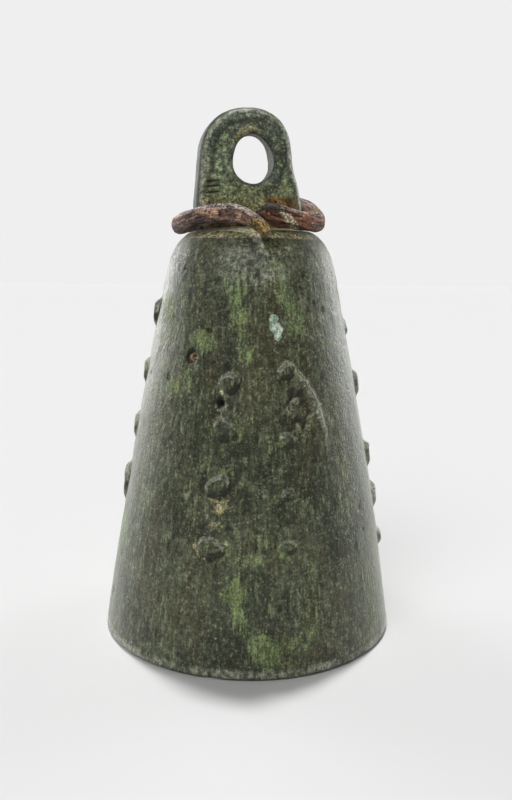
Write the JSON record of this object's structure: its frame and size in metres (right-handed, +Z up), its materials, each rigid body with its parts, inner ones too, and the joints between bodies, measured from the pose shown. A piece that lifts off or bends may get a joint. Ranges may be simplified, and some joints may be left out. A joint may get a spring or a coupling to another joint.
{
  "type": "hand-hung bell",
  "caption": "Tall conical cast-bronze bell with raised bosses, an upright lug with an eye, a loose iron collar ring, and an iron clapper on a link and staple.",
  "frame": {"origin": "centre of the mouth, on the plane the bell stands on", "axes": "+Z up along the bell's axis to the hanging lug; the lug's broad faces look along Y and its width runs along X"},
  "size_m": [0.062, 0.062, 0.1083],
  "materials": {
    "bell_bronze": "dark olive-green cast-bronze patina with lighter verdigris, satin",
    "lug_bronze": "dark green bronze patina, polished by wear at the edges and in the eye",
    "ring_iron": "forged iron, rough red-brown rust",
    "inner_iron": "forged iron, dark brown rust"
  },
  "bodies": {
    "bell": {"bell_shell": "bell_bronze", "suspension_lug": "lug_bronze", "clapper_staple": "inner_iron", "core_pin_front": "inner_iron", "core_pin_right": "inner_iron", "core_pin_back": "inner_iron"},
    "ring": {"collar_ring": "ring_iron"},
    "link": {"clapper_link": "inner_iron"},
    "clapper": {"clapper_stem": "inner_iron", "clapper_bob": "inner_iron"}
  },
  "joints": [
    {"name": "ring_lift", "type": "slide", "parent": "bell", "child": "ring", "axis": [0, 0, 1], "range_m": [0, 0.03]},
    {"name": "link_swing", "type": "hinge", "parent": "bell", "child": "link", "pos_m": [0, 0, 0.072], "axis": [0, 1, 0], "range_deg": [-16.8, 16.8]},
    {"name": "clapper_swing", "type": "hinge", "parent": "link", "child": "clapper", "pos_m": [0, 0, 0.0639], "axis": [1, 0, 0], "range_deg": [-5, 5]}
  ]
}
